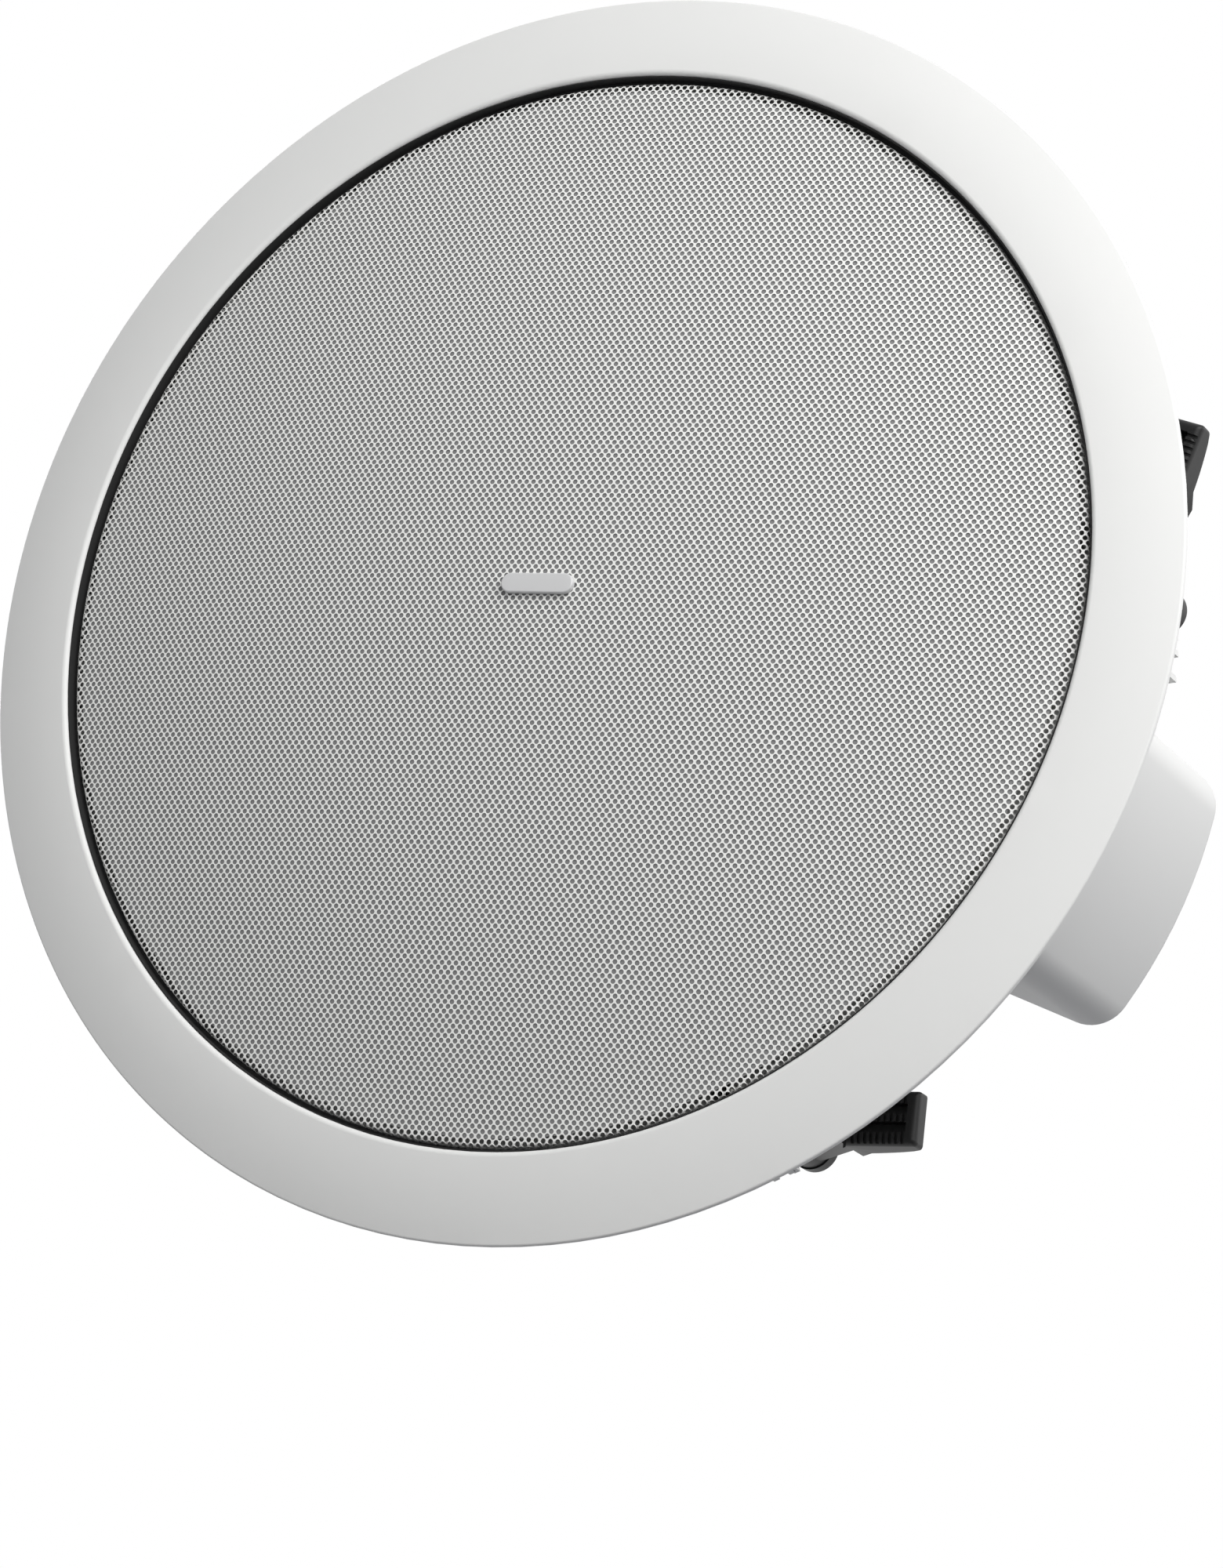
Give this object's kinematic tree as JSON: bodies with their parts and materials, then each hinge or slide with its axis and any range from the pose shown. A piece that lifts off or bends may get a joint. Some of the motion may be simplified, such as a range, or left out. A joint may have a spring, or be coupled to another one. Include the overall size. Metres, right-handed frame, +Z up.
{
  "type": "in-ceiling subwoofer",
  "caption": "Round flush-mount ceiling subwoofer: domed perforated grille, white bezel, lobed rear can, black swing clamps, sealed woofer and filter inside.",
  "frame": {"origin": "on the unit's axis in the plane of the ceiling's visible face, where the bezel's rim bears", "axes": "+Z up into the ceiling void, so the grille faces -Z; +X towards the deep lobe of the rear can"},
  "size_m": [0.404, 0.404, 0.2165],
  "materials": {
    "white_moulding": "satin moulded white",
    "grille_steel": "white powder coat",
    "scrim_cloth": "woven grey cloth",
    "badge_plate": "bare light grey plate",
    "foam": "closed-cell foam",
    "black_steel": "black paint",
    "surround_rubber": "moulded rubber",
    "cone_paper": "coated paper",
    "spider_cloth": "resin-dipped cloth",
    "aluminium": "thin sheet",
    "copper": "enamelled copper wire",
    "zinc_steel": "zinc plated",
    "ferrite": "pressed ferrite",
    "black_moulding": "glass-filled nylon",
    "board": "resin-bonded board",
    "capacitor_sleeve": "shrink sleeve",
    "terminal_green": "moulded nylon",
    "wadding": "polyester fibre"
  },
  "bodies": {
    "housing": {"baffle": "white_moulding", "rear_can": "white_moulding", "can_gasket": "foam", "basket": "black_steel", "driver_gasket": "foam", "surround": "surround_rubber", "spider": "spider_cloth", "top_plate": "zinc_steel", "magnet": "ferrite", "yoke": "zinc_steel", "driver_tags": "board", "driver_screws": "black_steel", "can_screws": "zinc_steel", "cable_gland": "black_moulding", "gland_nut": "black_moulding", "gland_locknut": "black_moulding", "crossover_board": "board", "inductor": "copper", "filter_capacitor": "capacitor_sleeve", "terminal_block": "terminal_green", "can_wadding": "wadding", "safety_eye": "zinc_steel"},
    "grille": {"grille": "grille_steel", "grille_scrim": "scrim_cloth", "grille_badge": "badge_plate"},
    "cone": {"cone": "cone_paper", "dust_cap": "cone_paper", "coil_former": "aluminium", "coil_winding": "copper"},
    "screw_1": {"clamp_screw_1": "zinc_steel"},
    "nut_1": {"clamp_nut_1": "zinc_steel"},
    "arm_1": {"clamp_arm_1": "black_moulding"},
    "screw_2": {"clamp_screw_2": "zinc_steel"},
    "nut_2": {"clamp_nut_2": "zinc_steel"},
    "arm_2": {"clamp_arm_2": "black_moulding"},
    "screw_3": {"clamp_screw_3": "zinc_steel"},
    "nut_3": {"clamp_nut_3": "zinc_steel"},
    "arm_3": {"clamp_arm_3": "black_moulding"},
    "screw_4": {"clamp_screw_4": "zinc_steel"},
    "nut_4": {"clamp_nut_4": "zinc_steel"},
    "arm_4": {"clamp_arm_4": "black_moulding"},
    "screw_5": {"clamp_screw_5": "zinc_steel"},
    "nut_5": {"clamp_nut_5": "zinc_steel"},
    "arm_5": {"clamp_arm_5": "black_moulding"}
  },
  "joints": [
    {"name": "grille_pull", "type": "slide", "parent": "housing", "child": "grille", "axis": [0, 0, -1], "range_m": [0, 0.03]},
    {"name": "cone_travel", "type": "slide", "parent": "housing", "child": "cone", "axis": [0, 0, -1], "range_m": [-0.008, 0.008], "stiffness_N_per_m": 4500, "deforming": ["surround", "spider"]},
    {"name": "clamp_screw_turn_1", "type": "hinge", "parent": "housing", "child": "screw_1", "pos_m": [0.11918, 0.11712, 0.06], "axis": [0, 0, 1], "range_deg": [-20, 4340]},
    {"name": "clamp_travel_1", "type": "slide", "parent": "housing", "child": "nut_1", "axis": [0, 0, -1], "range_m": [0, 0.024]},
    {"name": "arm_swing_1", "type": "hinge", "parent": "nut_1", "child": "arm_1", "pos_m": [0.11918, 0.11712, 0.06], "axis": [0, 0, 1], "range_deg": [-45, 0]},
    {"name": "clamp_screw_turn_2", "type": "hinge", "parent": "housing", "child": "screw_2", "pos_m": [-0.07456, 0.14954, 0.06], "axis": [0, 0, 1], "range_deg": [-20, 4340]},
    {"name": "clamp_travel_2", "type": "slide", "parent": "housing", "child": "nut_2", "axis": [0, 0, -1], "range_m": [0, 0.024]},
    {"name": "arm_swing_2", "type": "hinge", "parent": "nut_2", "child": "arm_2", "pos_m": [-0.07456, 0.14954, 0.06], "axis": [0, 0, 1], "range_deg": [-45, 0]},
    {"name": "clamp_screw_turn_3", "type": "hinge", "parent": "housing", "child": "screw_3", "pos_m": [-0.16526, -0.0247, 0.06], "axis": [0, 0, 1], "range_deg": [-20, 4340]},
    {"name": "clamp_travel_3", "type": "slide", "parent": "housing", "child": "nut_3", "axis": [0, 0, -1], "range_m": [0, 0.024]},
    {"name": "arm_swing_3", "type": "hinge", "parent": "nut_3", "child": "arm_3", "pos_m": [-0.16526, -0.0247, 0.06], "axis": [0, 0, 1], "range_deg": [-45, 0]},
    {"name": "clamp_screw_turn_4", "type": "hinge", "parent": "housing", "child": "screw_4", "pos_m": [-0.02758, -0.16481, 0.06], "axis": [0, 0, 1], "range_deg": [-20, 4340]},
    {"name": "clamp_travel_4", "type": "slide", "parent": "housing", "child": "nut_4", "axis": [0, 0, -1], "range_m": [0, 0.024]},
    {"name": "arm_swing_4", "type": "hinge", "parent": "nut_4", "child": "arm_4", "pos_m": [-0.02758, -0.16481, 0.06], "axis": [0, 0, 1], "range_deg": [-45, 0]},
    {"name": "clamp_screw_turn_5", "type": "hinge", "parent": "housing", "child": "screw_5", "pos_m": [0.14822, -0.07716, 0.06], "axis": [0, 0, 1], "range_deg": [-20, 4340]},
    {"name": "clamp_travel_5", "type": "slide", "parent": "housing", "child": "nut_5", "axis": [0, 0, -1], "range_m": [0, 0.024]},
    {"name": "arm_swing_5", "type": "hinge", "parent": "nut_5", "child": "arm_5", "pos_m": [0.14822, -0.07716, 0.06], "axis": [0, 0, 1], "range_deg": [-45, 0]}
  ],
  "couplings": [
    {"joint": "clamp_screw_turn_1", "follows": "clamp_travel_1", "rad_per_m": 3141.6},
    {"joint": "clamp_screw_turn_2", "follows": "clamp_travel_2", "rad_per_m": 3141.6},
    {"joint": "clamp_screw_turn_3", "follows": "clamp_travel_3", "rad_per_m": 3141.6},
    {"joint": "clamp_screw_turn_4", "follows": "clamp_travel_4", "rad_per_m": 3141.6},
    {"joint": "clamp_screw_turn_5", "follows": "clamp_travel_5", "rad_per_m": 3141.6}
  ]
}
